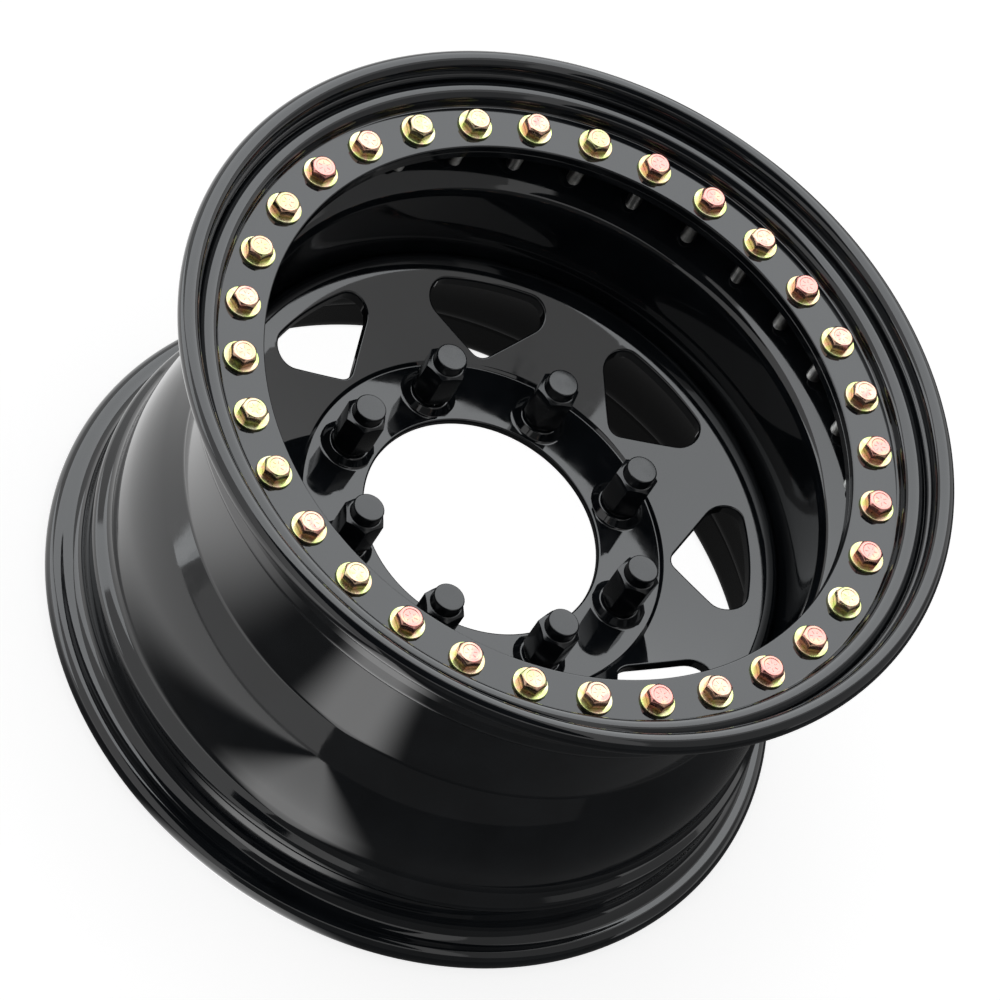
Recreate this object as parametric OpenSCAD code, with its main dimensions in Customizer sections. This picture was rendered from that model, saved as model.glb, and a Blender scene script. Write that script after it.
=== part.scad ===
// Steel truck wheel, 15 by 8 inch, with a bolted bead clamp ring and eight closed lug nuts.
// All sizes are millimetres. The origin is the centre of the hub mounting face, and +Z points
// outboard, so the wheel stands on the end of its rear flange.

/* [Hub and centre disc] */
// Thickness of the pressed centre disc
disc_t = 6; // [5:0.5:8]
// Diameter of the hub bore
hub_bore_d = 132; // [120:1:136]
// Circle through the stud holes
stud_circle_d = 165.1; // [160:0.1:170]
// Number of studs
stud_count = 8; // [6:1:8]
// Diameter of a stud hole at the mounting face
stud_hole_d = 15.8; // [15:0.1:16.4]
// Height of the mounting pad's front at its inner edge
pad_h = 5.8; // [5:0.1:7]
// Radius where the mounting pad ends at its rim
pad_rim_r = 102.4; // [100:0.2:106]
// Height of the step from the pad up to its rim
pad_step_h = 1.6; // [1:0.1:3]
// Rise of the disc's dished face for each millimetre of radius
dish_slope = 0.384; // [0.3:0.01:0.45]
// Height of the raised seat round each stud hole, above the mounting face
seat_top_z = 10; // [9:0.1:12]
// Height of the end of the disc's outer flange, above the mounting face
disc_flange_end_z = 6; // [4:0.5:9]

/* [Windows] */
// Number of windows in the disc
window_count = 8; // [6:1:8]
// Width of the disc that is left outside a window, up to the barrel's wall
window_rim_w = 18.1; // [17:0.1:25]
// Depth of a window, from its outer side in to its point
window_depth = 38.2; // [32:0.1:40]
// Width across a window
window_w = 65; // [40:1:68]
// Rounding of a window's outer corners
window_corner_r = 10; // [6:0.5:14]
// Rounding of a window's point
window_point_r = 8; // [5:0.5:12]
// Turn of the windows past the middle between two studs, in degrees
window_turn = 1.5; // [0:0.1:3]

/* [Rim barrel] */
// Thickness of the rolled barrel
barrel_t = 4; // [3:0.1:5]
// Distance from the mounting face back to the end of the rear flange
backspace = 103.1; // [95:0.1:110]
// Diameter of the bead seats
bead_seat_d = 382.6; // [380:0.1:384]
// Height of the rear flange above the bead seat
flange_h = 16.1; // [15:0.1:18]
// Depth of the rear flange from its inner face to its end
flange_w = 12.3; // [11:0.1:14]
// Depth of the narrow well below the bead seats
well_depth = 24.3; // [22:0.1:27]
// Depth of the drum behind the well, below the bead seats
drum_depth = 6.3; // [5:0.1:9]
// Height of the ramp's front end, at the well
ramp_front_z = 10.5; // [6:0.5:14]
// Height of the ramp's rear end, at the drum
ramp_rear_z = -21.5; // [-30:0.5:-16]
// Height of the front shelf's inner end, at the well
shelf_inner_z = 76.9; // [74:0.1:80]
// Height of the front shelf's outer end, at the bead seat
shelf_outer_z = 89.8; // [88:0.1:92]
// Distance of the bead safety hump from the rear flange
hump_z = 26.5; // [24:0.5:30]
// Height of the hump above the bead seat
hump_h = 0.9; // [0.5:0.1:1.5]
// Diameter of the valve hole in the shelf
valve_hole_d = 11.5; // [10:0.1:16]

/* [Bead clamp] */
// Width of the front bead seat, from the shelf to the inner ring that is welded on its edge
front_seat_w = 22.08; // [20:0.02:26]
// Thickness of the inner ring and of the clamp ring's flat
ring_t = 4.76; // [4:0.01:6.4]
// Distance from the bead seat in to the circle through the clamp bolts
bolt_inset = 15.9; // [14:0.1:18]
// Width of both rings inside the bolt circle
ring_in_w = 13.4; // [12:0.1:16]
// Width of the inner ring outside the bolt circle
ring_out_w = 21.6; // [20:0.1:24]
// Number of clamp bolts
bolt_count = 32; // [28:1:32]
// Diameter of a clamp bolt's thread
bolt_d = 7.94; // [7:0.01:8]
// Length of a clamp bolt under its head
bolt_len = 33.8; // [31:0.1:34]
// Width across a clamp bolt's hexagon
bolt_hex_w = 12.7; // [12:0.1:13]
// Height of a clamp bolt's head
bolt_head_h = 5.6; // [5:0.1:6.5]
// Diameter of a washer
washer_d = 18.9; // [16:0.1:20]
// Thickness of a washer
washer_t = 1.5; // [1:0.1:2]
// Height of a welded nut
weld_nut_h = 6.7; // [5:0.1:7]
// Play between a bolt and the holes that it passes
bolt_play = 0.33; // [0.2:0.01:0.5]
// Turn of the first clamp bolt from +X, in degrees
bolt_turn = 5.28; // [0:0.01:11]

/* [Clamp ring edge] */
// Distance from the bolt circle out to the ridge
ridge_out = 12.85; // [11:0.05:15]
// Width of the raised ridge
ridge_w = 12.1; // [11:0.1:13]
// Height of the ridge above the flat
ridge_h = 8.95; // [7:0.05:10]
// Distance from the ridge out to the middle of the curled lip
curl_out = 7.1; // [6:0.05:9]
// Height of the middle of the curled lip above the flat
curl_h = 13.4; // [12:0.1:14.4]
// Thickness of the curled lip
curl_d = 11; // [10:0.1:12]

/* [Lug nuts] */
// Height of a lug nut
lug_nut_h = 34.3; // [32:0.1:38]
// Width across a lug nut's hexagon
lug_hex_w = 20.6; // [19:0.1:22.2]
// Diameter of a lug nut's closed cap
lug_cap_d = 17; // [15:0.1:18]
// Height of the closed cap above the hexagon
lug_cap_h = 6.4; // [5:0.1:9]
// Diameter of a lug nut's end in its coned seat
lug_tip_d = 16.6; // [16.4:0.1:17.4]
// Diameter of the stud thread in a lug nut
lug_thread_d = 14.288; // [12:0.001:14.6]
// Play between a lug nut's cone and its seat
seat_play = 0.03; // [0.01:0.01:0.1]

/* [Hidden] */
$fn = 96;
round_fn = 180;

BOLT_NODES = [for (i = [1:bolt_count]) str("clamp_bolt_", i)];
LUG_NODES = [for (i = [1:stud_count]) str("lug_nut_", i)];

black = [0.06, 0.06, 0.065];
zinc_yellow = [0.78, 0.66, 0.36];
zinc_pale = [0.80, 0.78, 0.55];

// Fillets are drawn with one flat step for each of these degrees
arc_step = 10;
slip = 0.01;

// Barrel diameters, and the circles of the bead clamp
flange_d = bead_seat_d + 2 * flange_h;
well_d = bead_seat_d - 2 * well_depth;
drum_d = bead_seat_d - 2 * drum_depth;
bolt_circle_r = bead_seat_d / 2 - bolt_inset;
ring_inner_r = bolt_circle_r - ring_in_w;
inner_ring_r = bolt_circle_r + ring_out_w;
ridge_r = bolt_circle_r + ridge_out;
curl_r = ridge_r + ridge_w + curl_out;

// Bead clamp stack, from the barrel's front edge outwards
ring_seat_z = shelf_outer_z + front_seat_w;
clamp_seat_z = ring_seat_z + ring_t;
clamp_top_z = clamp_seat_z + ring_t;
head_seat_z = clamp_top_z + washer_t;
bolt_hole_r = bolt_d / 2 + bolt_play;
bolt_step = 360 / bolt_count;

// Centre disc
stud_step = 360 / stud_count;
stud_turn = stud_step / 2;
window_step = 360 / window_count;
pad_rise = 0.5;
disc_rim_z = pad_h + pad_rise + pad_step_h;
crown_w = 14.5;
disc_outer_r = well_d / 2 - barrel_t;
disc_bend_r = disc_outer_r - crown_w;
disc_bend = 50;
crown_bend = 8;
step_top_bend = 1.5;
step_foot_bend = 1.2;
pad_dish_bend = 30;
pad_dish_w = 4;
pad_dish_h = 0.1;
bore_edge_bend = 1.5;
bore_chamfer = 2;
pad_back_bend = 4;
disc_bend_z = disc_rim_z + (disc_bend_r - pad_rim_r) * dish_slope;
window_outer_r = disc_outer_r - window_rim_w;
window_inner_r = window_outer_r - window_depth;
crown_slope = 0.176;
disc_crown_z = disc_bend_z + (disc_outer_r - disc_bend_r) * crown_slope;

// Coned stud seats, 60 degrees across, which the lug nuts' tips fill
cone_slope = tan(30);
lug_sink = 1.3;
lug_tip_z = seat_top_z - lug_sink;
lug_top_z = lug_tip_z + lug_nut_h;
lug_hex_top_z = lug_top_z - lug_cap_h;
seat_low_z = lug_tip_z - (lug_tip_d - stud_hole_d) / 2 / cone_slope;

// Rear flange
rest_z = -backspace;
flange_face_z = rest_z + flange_w;
hump_top_z = flange_face_z + hump_z;
shelf_slope = (shelf_outer_z - shelf_inner_z) / (bead_seat_d - well_d) * 2;
flange_tip_in = 2.4;
flange_tip_h = 3.4;
flange_edge_bend = 7;
flange_face_bend = 6.6;
flange_root_bend = 9;

// Bead seat, hump and the bends of the drum, the ramp, the well and the shelf
seat_fall = 0.3;
hump_foot = 3.2;
hump_brow = 0.8;
hump_heel = 1.5;
hump_bend = 5;
hump_fall = 6.3;
drum_rear_bend = 9;
drum_front_bend = 24;
well_bend = 5;
shelf_bend = 8;
seat_h = 10.7;

// Front edge of the barrel: it flares a little and ends upright under the inner ring
edge_flare = 1;
edge_land = 4;
barrel_edge_r = bead_seat_d / 2 + edge_flare;

// Profiles are loops of corners, each [radius, height, fillet]. These functions round them.
function xy(p) = [p[0], p[1]];
function unit(v) = v / norm(v);
function corner(loop, i) = loop[(i + len(loop)) % len(loop)];
function ahead(loop, i) = unit(xy(corner(loop, i + 1)) - xy(corner(loop, i)));
function back(loop, i) = unit(xy(corner(loop, i - 1)) - xy(corner(loop, i)));
function half_angle(loop, i) = acos(ahead(loop, i) * back(loop, i)) / 2;
function hub_of(loop, i) = xy(corner(loop, i))
    + unit(ahead(loop, i) + back(loop, i)) * corner(loop, i)[2] / sin(half_angle(loop, i));
function tangent_in(loop, i) = xy(corner(loop, i))
    + back(loop, i) * corner(loop, i)[2] / tan(half_angle(loop, i));
function heading(v) = atan2(v[1], v[0]);
function swing(a) = a > 180 ? a - 360 : (a < -180 ? a + 360 : a);
function arc(c, r, from, by) = let (n = max(1, ceil(abs(by) / arc_step)))
    [for (i = [0:n]) c + r * [cos(from + by * i / n), sin(from + by * i / n)]];
function fillet(loop, i) = let (
        c = hub_of(loop, i),
        from = heading(tangent_in(loop, i) - c),
        middle = heading(xy(corner(loop, i)) - c)
    ) arc(c, corner(loop, i)[2], from, 2 * swing(middle - from));
function rounded(loop) = [for (i = [0:len(loop) - 1])
    each corner(loop, i)[2] > 0 ? fillet(loop, i) : [xy(corner(loop, i))]];

// A sheet's far side: the same corners moved by t to the left of the way that the path runs
function left(v) = [-v[1], v[0]];
function run_dir(path, i) = unit(xy(path[min(i + 1, len(path) - 1)]) - xy(path[min(i, len(path) - 2)]));
function turns_left(path, i) = left(run_dir(path, i - 1)) * run_dir(path, i) > 0;
function offset_corner(path, t, i) = let (
        a = i == 0 ? run_dir(path, 0) : run_dir(path, i - 1),
        b = i == len(path) - 1 ? a : run_dir(path, i),
        m = unit(left(a) + left(b)),
        far = xy(path[i]) + m * t / (m * left(b)),
        bend = path[i][2] + (i > 0 && turns_left(path, i) ? -t : t)
    ) [far[0], far[1], path[i][2] > 0 ? max(0, bend) : 0];
function sheet(path, t) = concat(path, [for (i = [len(path) - 1:-1:0]) offset_corner(path, t, i)]);

// Outside of the barrel, from the end of the rear flange to the front edge
barrel_path = [
    [flange_d / 2 - flange_tip_in, rest_z, 0],
    [flange_d / 2, rest_z + flange_tip_h, flange_edge_bend],
    [flange_d / 2, flange_face_z, flange_face_bend],
    [bead_seat_d / 2 - seat_fall, flange_face_z, flange_root_bend],
    [bead_seat_d / 2, hump_top_z - hump_foot, 0],
    [bead_seat_d / 2 + hump_h, hump_top_z - hump_brow, 0],
    [bead_seat_d / 2 + hump_h, hump_top_z + hump_heel, hump_bend],
    [drum_d / 2, hump_top_z + hump_heel + hump_fall, drum_rear_bend],
    [drum_d / 2, ramp_rear_z, drum_front_bend],
    [well_d / 2, ramp_front_z, well_bend],
    [well_d / 2, shelf_inner_z, well_bend],
    [bead_seat_d / 2, shelf_outer_z, shelf_bend],
    [bead_seat_d / 2, shelf_outer_z + seat_h, 0],
    [barrel_edge_r, ring_seat_z - edge_land, 0],
    [barrel_edge_r, ring_seat_z, 0]
];

// Front of the disc, from the rim of the pad over the crown to the end of the outer flange,
// run backwards so that the sheet's far side lies behind it
disc_path = [
    [disc_outer_r, disc_flange_end_z, 0],
    [disc_outer_r, disc_crown_z, crown_bend],
    [disc_bend_r, disc_bend_z, disc_bend],
    [pad_rim_r, disc_rim_z, 0]
];

// The whole disc: the front of that path, then the pad, the bore and the mounting face
disc_back = [for (i = [0:2]) offset_corner(disc_path, disc_t, i)];
pad_back_r = pad_rim_r - (disc_rim_z - disc_t * sqrt(1 + dish_slope * dish_slope)) / dish_slope;
bore_r = hub_bore_d / 2;
disc_loop = [
    disc_path[0],
    disc_path[1],
    disc_path[2],
    [pad_rim_r, disc_rim_z, step_top_bend],
    [pad_rim_r - pad_step_h, pad_h + pad_rise, step_foot_bend],
    [bore_r + pad_dish_w, pad_h, pad_dish_bend],
    [bore_r, pad_h - pad_dish_h, bore_edge_bend],
    [bore_r, bore_chamfer, 0],
    [bore_r + bore_chamfer, 0, 0],
    [pad_back_r, 0, pad_back_bend],
    disc_back[2],
    disc_back[1],
    disc_back[0]
];

module barrel_section() {
    polygon(rounded(sheet(barrel_path, barrel_t)));
}

module disc_section() {
    polygon(rounded(disc_loop));
}

// Shelf hole for the valve, square to the shelf and between two clamp bolts
valve_r = (bead_seat_d + well_d) / 4 + 1;
valve_z = shelf_outer_z - (bead_seat_d / 2 - valve_r) * shelf_slope;
valve_tilt = atan(shelf_slope);
valve_angle = bolt_turn + bolt_step * 1.5;

module rim_barrel() color(black) difference() {
    rotate_extrude($fn = round_fn) barrel_section();
    rotate([0, 0, valve_angle]) translate([valve_r, 0, valve_z]) rotate([0, -valve_tilt, 0])
        cylinder(d = valve_hole_d, h = 6 * barrel_t, center = true);
}

// Window outline, pointing along +Y: its point, its two corners and the outer side between them
corner_x = window_w / 2 - window_corner_r;
corner_y = sqrt(pow(window_outer_r - window_corner_r, 2) - corner_x * corner_x);
point_y = window_inner_r + window_point_r;
side_angle = heading([corner_x, corner_y - point_y])
    - asin((window_corner_r - window_point_r) / norm([corner_x, corner_y - point_y]));
corner_lean = heading([corner_x, corner_y]);
window_loop = concat(
    arc([0, point_y], window_point_r, -90 - side_angle, 2 * side_angle),
    arc([corner_x, corner_y], window_corner_r, side_angle - 90, corner_lean - side_angle + 90),
    arc([0, 0], window_outer_r, corner_lean, 2 * (90 - corner_lean)),
    arc([-corner_x, corner_y], window_corner_r, 180 - corner_lean, corner_lean - side_angle + 90)
);

module at_studs() {
    for (i = [0:stud_count - 1]) rotate([0, 0, stud_turn + i * stud_step])
        translate([stud_circle_d / 2, 0, 0]) children();
}

module windows() {
    for (i = [0:window_count - 1]) rotate([0, 0, i * window_step + window_turn - 90])
        translate([0, 0, -disc_t]) linear_extrude(height = disc_crown_z + 2 * disc_t)
            polygon(window_loop);
}

// Raised seat round a stud hole, with its hole and cone
seat_r = 11.2;
seat_flare = 4.5;
seat_root = 1;
module stud_seat() {
    translate([0, 0, pad_h - seat_root])
        cylinder(r1 = seat_r + seat_flare, r2 = seat_r, h = seat_top_z - pad_h + seat_root);
}

module stud_hole() {
    translate([0, 0, -1]) cylinder(d = stud_hole_d, h = seat_top_z + 2);
    translate([0, 0, seat_low_z]) cylinder(
        r1 = stud_hole_d / 2 + seat_play,
        r2 = stud_hole_d / 2 + seat_play + (seat_top_z - seat_low_z + 1) * cone_slope,
        h = seat_top_z - seat_low_z + 1
    );
}

module centre_disc() color(black) difference() {
    union() {
        rotate_extrude($fn = round_fn) disc_section();
        difference() {
            at_studs() stud_seat();
            cylinder(r = bore_r + bore_edge_bend, h = seat_top_z);
        }
    }
    windows();
    at_studs() stud_hole();
}

// Stitch welds behind the disc's outer flange, eight, each the arc below
stitch_arc = 24;
stitch_r = 3.6;
stitch_out = 0.6;
stitch_back = 0.4;
module disc_welds() color(black) {
    for (i = [0:window_count - 1]) rotate([0, 0, i * window_step + window_turn - stitch_arc / 2])
        rotate_extrude(angle = stitch_arc, $fn = round_fn) difference() {
            translate([disc_outer_r + stitch_out, disc_flange_end_z - stitch_back]) circle(stitch_r);
            barrel_section();
            disc_section();
            translate([well_d / 2 - barrel_t / 2, 0]) square(5 * stitch_r);
        }
}

module ring_holes(z) {
    for (i = [0:bolt_count - 1]) rotate([0, 0, bolt_turn + i * bolt_step])
        translate([bolt_circle_r, 0, z - 1]) cylinder(r = bolt_hole_r, h = ring_t + 2);
}

module inner_ring() color(black) difference() {
    rotate_extrude($fn = round_fn)
        translate([ring_inner_r, ring_seat_z])
            square([inner_ring_r - ring_inner_r, ring_t]);
    ring_holes(ring_seat_z);
}

// Fillet welds between the barrel's front edge and the inner ring
weld_leg = 3;
module ring_outer_weld() color(black) rotate_extrude($fn = round_fn)
    polygon([
        [barrel_edge_r, ring_seat_z],
        [barrel_edge_r + weld_leg, ring_seat_z],
        [barrel_edge_r, ring_seat_z - weld_leg]
    ]);

module ring_inner_weld() color(black) rotate_extrude($fn = round_fn)
    polygon([
        [barrel_edge_r - barrel_t, ring_seat_z],
        [barrel_edge_r - barrel_t, ring_seat_z - weld_leg],
        [barrel_edge_r - barrel_t - weld_leg, ring_seat_z]
    ]);

// Clamp ring: a flat that is bolted down, a round ridge, a crease, a shoulder and a curled lip
shoulder_r = 3;
shoulder_w = 2.65;
shoulder_h = 7.6;
crease_h = 5.6;
raised_h = 5.9;
ramp_in = 2.2;
ramp_w = 2;
flat_edge_bend = 0.8;
web_bend = 2;
web_t = 1.5;
trim = 0.05;
raised_r = ridge_r + ridge_w + shoulder_w;
shoulder_top_z = clamp_top_z + shoulder_h + shoulder_r - 0.4;
clamp_loop = [
    [ring_inner_r, clamp_seat_z, flat_edge_bend],
    [ridge_r + ramp_in, clamp_seat_z, web_bend],
    [ridge_r + ramp_in + ramp_w, clamp_seat_z + raised_h, web_bend],
    [raised_r + web_t, clamp_seat_z + raised_h + 1, 2 * web_bend],
    [curl_r + web_t, clamp_top_z + curl_h - curl_d / 2 + 1, 0],
    [curl_r, clamp_top_z + curl_h, 0],
    [raised_r, shoulder_top_z, 0],
    [raised_r - shoulder_r, shoulder_top_z, shoulder_r - 4 * trim],
    [raised_r - shoulder_r, clamp_top_z + crease_h, 0],
    [ridge_r + ridge_w, clamp_top_z + crease_h, 0],
    [ridge_r + ridge_w, clamp_top_z + ridge_h, ridge_w / 2 - trim],
    [ridge_r, clamp_top_z + ridge_h, ridge_w / 2 - trim],
    [ridge_r, clamp_top_z, web_t],
    [ring_inner_r, clamp_top_z, web_t * flat_edge_bend]
];

module clamp_ring() color(black) difference() {
    union() {
        rotate_extrude($fn = round_fn) polygon(rounded(clamp_loop));
        rotate_extrude($fn = round_fn) translate([curl_r, clamp_top_z + curl_h]) circle(d = curl_d);
    }
    ring_holes(clamp_seat_z);
}

module at_bolt(i) {
    rotate([0, 0, bolt_turn + i * bolt_step]) translate([bolt_circle_r, 0, 0]) children();
}

module hexagon(w, h) {
    cylinder(d = w / cos(30), h = h, $fn = 6);
}

// Clamp bolt: a hexagon head with a turned chamfer, and a shank with a chamfered end.
// Each is turned to its own angle, as tightened bolts are.
head_chamfer = 0.65;
head_chamfer_h = 1.3;
tip_chamfer = 0.8;
bolt_spin = 17;
module clamp_bolt(i) color(zinc_yellow) at_bolt(i) rotate([0, 0, bolt_spin * i]) {
    intersection() {
        translate([0, 0, head_seat_z]) hexagon(bolt_hex_w, bolt_head_h);
        translate([0, 0, head_seat_z]) union() {
            cylinder(d = bolt_hex_w / cos(30), h = bolt_head_h - head_chamfer_h);
            translate([0, 0, bolt_head_h - head_chamfer_h]) cylinder(
                d1 = bolt_hex_w / cos(30), d2 = bolt_hex_w - 2 * head_chamfer, h = head_chamfer_h
            );
        }
    }
    translate([0, 0, head_seat_z - bolt_len + tip_chamfer])
        cylinder(d = bolt_d, h = bolt_len - tip_chamfer);
    translate([0, 0, head_seat_z - bolt_len])
        cylinder(d1 = bolt_d - 2 * tip_chamfer, d2 = bolt_d, h = tip_chamfer);
}

module clamp_washers() color(zinc_pale) {
    for (i = [0:bolt_count - 1]) at_bolt(i) translate([0, 0, clamp_top_z]) difference() {
        cylinder(d = washer_d, h = washer_t);
        translate([0, 0, -1]) cylinder(r = bolt_hole_r, h = washer_t + 2);
    }
}

// Nuts welded behind the inner ring, which the clamp bolts screw into
thread_gap = 0.05;
module weld_nuts() color(black) {
    for (i = [0:bolt_count - 1]) at_bolt(i) translate([0, 0, ring_seat_z - weld_nut_h]) difference() {
        hexagon(bolt_hex_w, weld_nut_h);
        translate([0, 0, -1]) cylinder(r = bolt_d / 2 + thread_gap, h = weld_nut_h + 2);
    }
}

// Lug nut: a coned tip, a hexagon with turned ends, a closed round cap and a blind threaded bore
lug_corner_r = lug_hex_w / 2 / cos(30);
lug_cap_wall = 5;
lug_bore_h = lug_nut_h - lug_cap_wall;
lug_chamfer_h = 1.4;
lug_cap_land = 0.6;
lug_cap_edge = 0.9;
lug_spin = 23;
lug_waist_z = lug_tip_z + (lug_corner_r - lug_tip_d / 2) / cone_slope;
lug_outline = [
    [0, lug_tip_z, 0],
    [lug_tip_d / 2, lug_tip_z, 0],
    [lug_corner_r + slip, lug_waist_z, 0],
    [lug_corner_r + slip, lug_hex_top_z - lug_chamfer_h, 0],
    [lug_cap_d / 2 + lug_cap_land, lug_hex_top_z, 0],
    [lug_cap_d / 2, lug_hex_top_z, 0],
    [lug_cap_d / 2, lug_top_z, lug_cap_edge],
    [0, lug_top_z, 0]
];

module lug_nut(i) color(black)
    rotate([0, 0, stud_turn + i * stud_step]) translate([stud_circle_d / 2, 0, 0])
        rotate([0, 0, lug_spin * i]) difference() {
            intersection() {
                rotate_extrude() polygon(rounded(lug_outline));
                union() {
                    translate([0, 0, lug_tip_z]) hexagon(lug_hex_w, lug_hex_top_z - lug_tip_z);
                    translate([0, 0, lug_tip_z]) cylinder(d = lug_cap_d, h = lug_nut_h);
                }
            }
            translate([0, 0, lug_tip_z - 1]) cylinder(d = lug_thread_d, h = lug_bore_h + 1);
        }

rim_barrel();
centre_disc();
disc_welds();
inner_ring();
ring_outer_weld();
ring_inner_weld();
clamp_ring();
clamp_washers();
weld_nuts();
for (i = [0:bolt_count - 1]) clamp_bolt(i);
for (i = [0:stud_count - 1]) lug_nut(i);
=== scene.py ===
import math

import bpy
import numpy as np
from mathutils import Matrix, Vector
from mathutils.geometry import delaunay_2d_cdt


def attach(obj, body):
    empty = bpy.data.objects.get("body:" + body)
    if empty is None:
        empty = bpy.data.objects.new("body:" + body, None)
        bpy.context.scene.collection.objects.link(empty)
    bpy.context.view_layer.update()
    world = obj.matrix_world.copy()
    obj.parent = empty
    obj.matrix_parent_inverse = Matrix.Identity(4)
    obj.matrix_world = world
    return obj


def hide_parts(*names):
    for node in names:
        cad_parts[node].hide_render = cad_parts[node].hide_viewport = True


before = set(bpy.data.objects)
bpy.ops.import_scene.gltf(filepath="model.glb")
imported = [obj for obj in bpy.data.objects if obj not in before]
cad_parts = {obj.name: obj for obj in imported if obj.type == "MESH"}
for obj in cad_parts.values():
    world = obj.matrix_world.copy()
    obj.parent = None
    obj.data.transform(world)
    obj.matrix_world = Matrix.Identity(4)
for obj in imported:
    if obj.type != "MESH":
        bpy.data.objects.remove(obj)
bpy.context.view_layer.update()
bpy.context.scene.view_settings.view_transform = "Standard"

# All sizes here are in millimetres, as in the CAD source. Meshes are made in metres at the end.
MM = 0.001

# sizes, as in the CAD source
DISC_T, BORE_R, PAD_H, PAD_RISE = 6.0, 66.0, 5.8, 0.5
PAD_RIM_R, PAD_STEP_H, DISH_SLOPE = 102.4, 1.6, 0.384
STUD_R, STUD_COUNT, STUD_HOLE_R = 82.55, 8, 7.9
SEAT_TOP_Z, SEAT_R = 10.0, 11.2
WINDOW_COUNT, WINDOW_TURN = 8, 1.5
WINDOW_IN_R, WINDOW_OUT_R, WINDOW_W = 106.7, 144.9, 65.0
WINDOW_CORNER_R, WINDOW_POINT_R = 10.0, 8.0
BARREL_T, REST_Z, FLANGE_R, FLANGE_FACE_Z = 4.0, -103.1, 207.4, -90.8
SEAT_BEAD_R, WELL_R, DRUM_R = 191.3, 167.0, 185.0
HUMP_Z, HUMP_H = FLANGE_FACE_Z + 26.5, 0.9
DRUM_REAR_Z, RAMP_REAR_Z, RAMP_FRONT_Z = -56.5, -21.5, 10.5
SHELF_IN_Z, SHELF_OUT_Z = 76.9, 89.8
RING_SEAT_Z, RING_T, RING_IN_R, INNER_RING_R = 111.88, 4.76, 162.0, 197.0
CLAMP_SEAT_Z = RING_SEAT_Z + RING_T
CLAMP_TOP_Z = CLAMP_SEAT_Z + RING_T
BARREL_EDGE_R = SEAT_BEAD_R + 1
BOLT_CIRCLE_R, BOLT_COUNT, BOLT_TURN = 175.4, 32, 5.28
BOLT_R, BOLT_LEN, BOLT_HEX_W, BOLT_HEAD_H = 3.97, 33.8, 12.7, 5.6
BOLT_HOLE_R, WASHER_R, WASHER_T, WELD_NUT_H = 4.3, 9.45, 1.5, 6.7
HEAD_SEAT_Z = CLAMP_TOP_Z + WASHER_T
BOLT_STEP = 360 / BOLT_COUNT
RIDGE_R, RIDGE_W, RIDGE_H, CURL_R, CURL_H, CURL_D = 188.25, 12.1, 8.95, 207.45, 13.4, 11.0
LUG_TIP_Z, LUG_H, LUG_HEX_W, LUG_CAP_R, LUG_CAP_H, LUG_TIP_R = 8.7, 34.3, 20.6, 8.5, 6.4, 8.3
LUG_THREAD_R = 7.144
VALVE_R, VALVE_TURN, VALVE_HOLE_R = 180.15, BOLT_TURN + 1.5 * BOLT_STEP, 5.75
COS30 = math.cos(math.radians(30))
TAN30 = math.tan(math.radians(30))
STUD_TURN = 22.5
STITCH_ARC, STITCH_Z, STITCH_R, STITCH_SUNK = 24, 4.9, 2.9, 0.6
WELD_LEG, WELD_BULGE, WELD_RIPPLE, RIPPLE_PITCH = 3.0, 0.5, 0.13, 2.2
THREAD_PITCH, THREAD_DEPTH, THREAD_STEPS = 1.411, 0.78, 7
# how finely each turned piece is divided round its axis
BARREL_SEG, RING_SEG, DISC_SEG, SEAT_SEG, WASHER_SEG = 256, 256, 240, 48, 40


# mesh tools
def unit(v):
    return v / np.linalg.norm(v)


def heading(v):
    return math.atan2(v[1], v[0])


def ray(a):
    return np.array([math.cos(a), math.sin(a)])


def outward(d):
    """The side of a run that faces away from the metal, for a loop that turns to the left."""
    return np.array([d[1], -d[0]])


def turned(p, c, s):
    """A place or a way (radius, height) in the section, turned round the axis to the way (c, s)."""
    return (p[0] * c, p[0] * s, p[1])


def rounded(loop, step=6.0, soft=0.25):
    """Points of a closed loop of corners [r, z, fillet], and the normals at both ends of each span.
    A sharp corner gets a fillet of the size soft, as far as its neighbours leave room."""
    points, spans = [], []
    count = len(loop)
    for i in range(count):
        p = np.array(loop[i][:2], float)
        before = np.array(loop[i - 1][:2], float)
        after = np.array(loop[(i + 1) % count][:2], float)
        d_in, d_out = unit(p - before), unit(after - p)
        turn = math.atan2(d_in[0] * d_out[1] - d_in[1] * d_out[0], float(d_in @ d_out))
        r = loop[i][2]
        if r == 0 and abs(turn) > math.radians(12):
            room = 0.4 * min(np.linalg.norm(p - before), np.linalg.norm(after - p))
            r = min(soft, room / abs(math.tan(turn / 2)))
        if r == 0 or abs(turn) < 1e-4:
            points.append(p)
            spans.append((outward(d_out), outward(d_out)))
            continue
        side = math.copysign(1, turn)
        centre = p - d_in * r * math.tan(abs(turn) / 2) - outward(d_in) * r * side
        steps = max(2, math.ceil(abs(math.degrees(turn)) / step))
        normals = [outward(ray(heading(d_in) + turn * k / steps)) for k in range(steps + 1)]
        for k, n in enumerate(normals):
            points.append(centre + n * r * side)
            spans.append((n, normals[k + 1]) if k < steps else (outward(d_out), outward(d_out)))
    return points, spans


def offset_corner(path, t, i):
    """The corner on the other side of a sheet of thickness t, across from corner i of its path."""
    def run(k):
        return unit(np.array(path[k + 1][:2], float) - np.array(path[k][:2], float))

    last = len(path) - 1
    a = run(max(i - 1, 0))
    b = run(min(i, last - 1))
    la, lb = -outward(a), -outward(b)
    m = unit(la + lb)
    far = np.array(path[i][:2]) + m * t / (m @ lb)
    bend = path[i][2] + (-t if 0 < i < last and la @ b > 0 else t)
    return [far[0], far[1], max(0, bend) if path[i][2] > 0 else 0]


def sheet(path, t):
    """The closed section of a bent sheet, from the path of one side."""
    return path + [offset_corner(path, t, i) for i in range(len(path) - 1, -1, -1)]


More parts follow.
